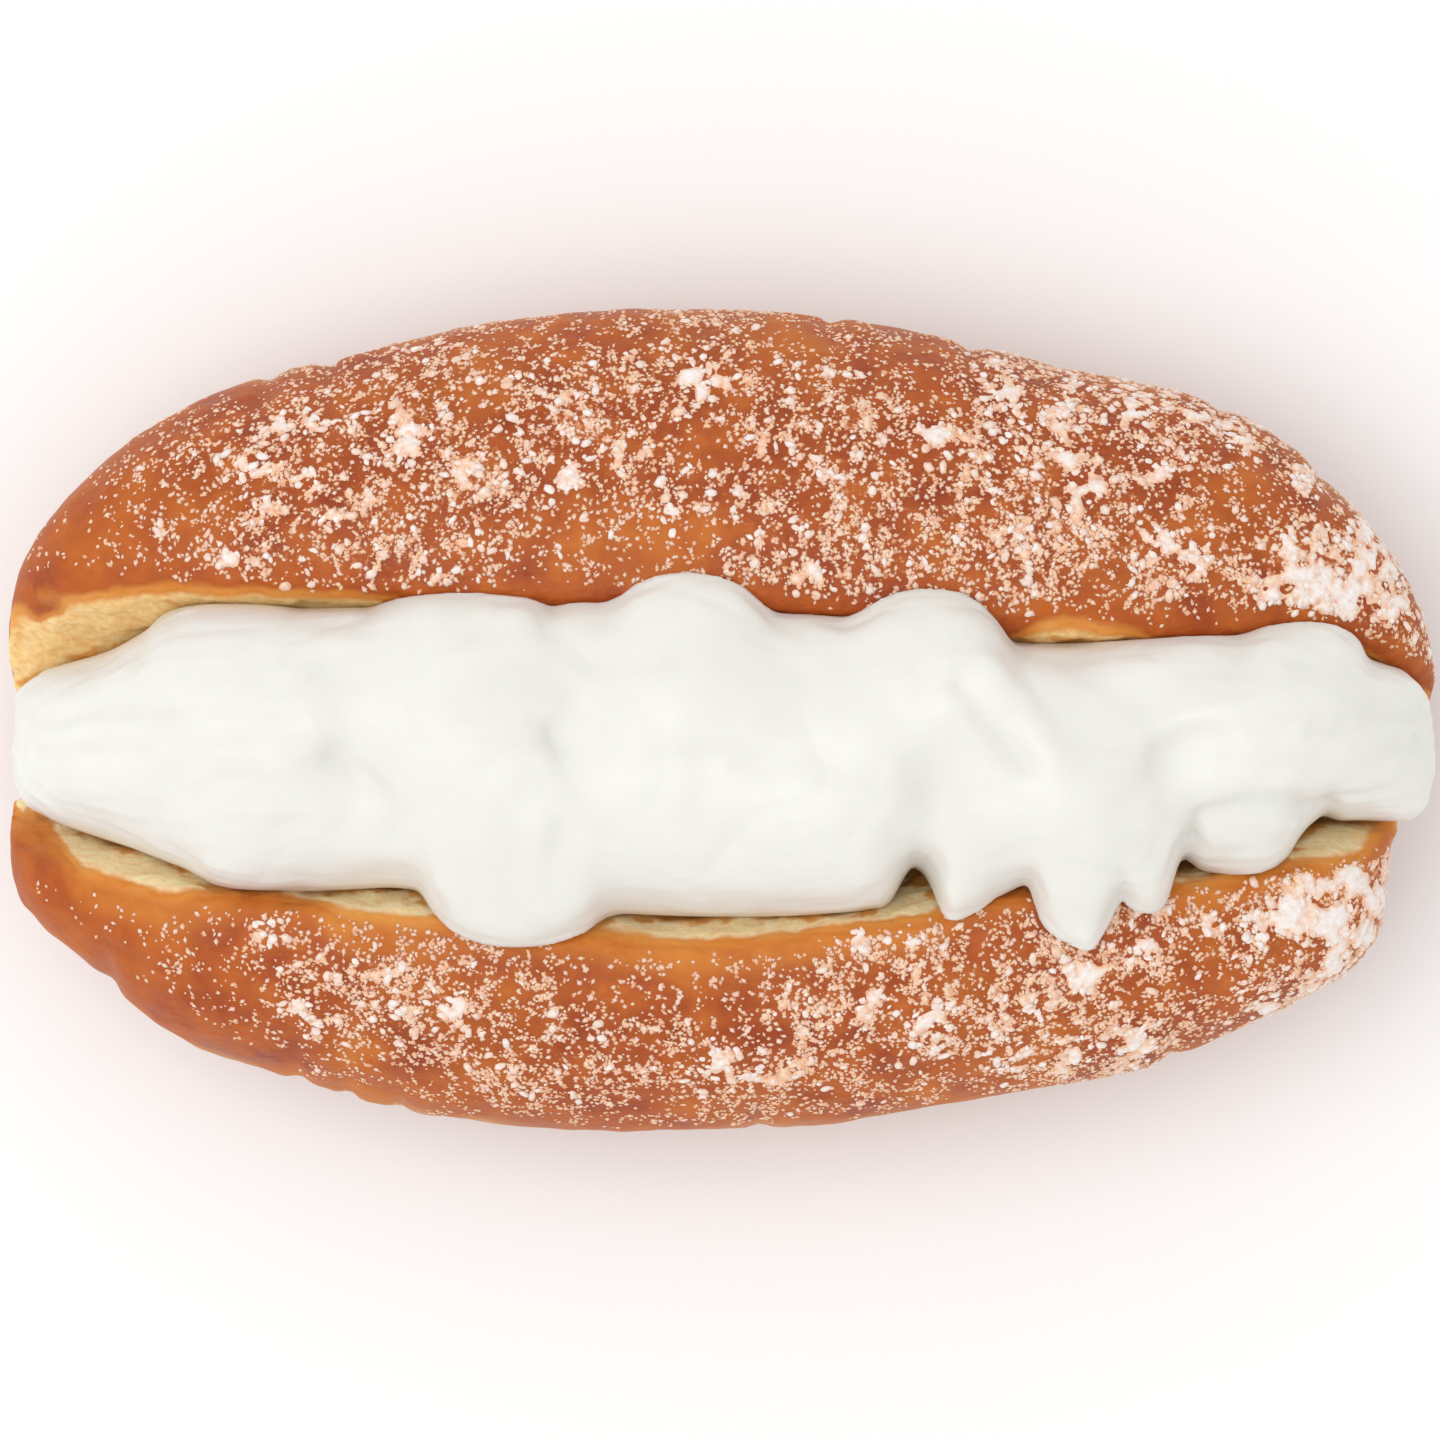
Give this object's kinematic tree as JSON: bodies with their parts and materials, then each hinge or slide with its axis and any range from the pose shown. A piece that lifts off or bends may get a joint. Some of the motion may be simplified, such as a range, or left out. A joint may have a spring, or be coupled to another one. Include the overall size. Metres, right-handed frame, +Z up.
{
  "type": "cream-filled doughnut",
  "caption": "Long oval fried doughnut, slit along its top and opened, with whipped cream piped into the slit and lapping over both halves.",
  "frame": {"origin": "on the surface the doughnut rests on, under the middle of its bounding box", "axes": "+X along the doughnut, +Z up, so that +Y is the half that is at the top of a picture taken from above"},
  "size_m": [0.1498, 0.0864, 0.0566],
  "materials": {
    "fried_dough": "golden-brown fried crust, satin, dusted with icing sugar, with pale cream-coloured crumb inside the slit",
    "whipped_cream": "soft off-white whipped cream, slightly glossy",
    "icing_sugar": "fine white icing sugar, matt, dusted over the crust"
  },
  "bodies": {
    "root": {"doughnut": "fried_dough", "cream": "whipped_cream"}
  },
  "joints": []
}
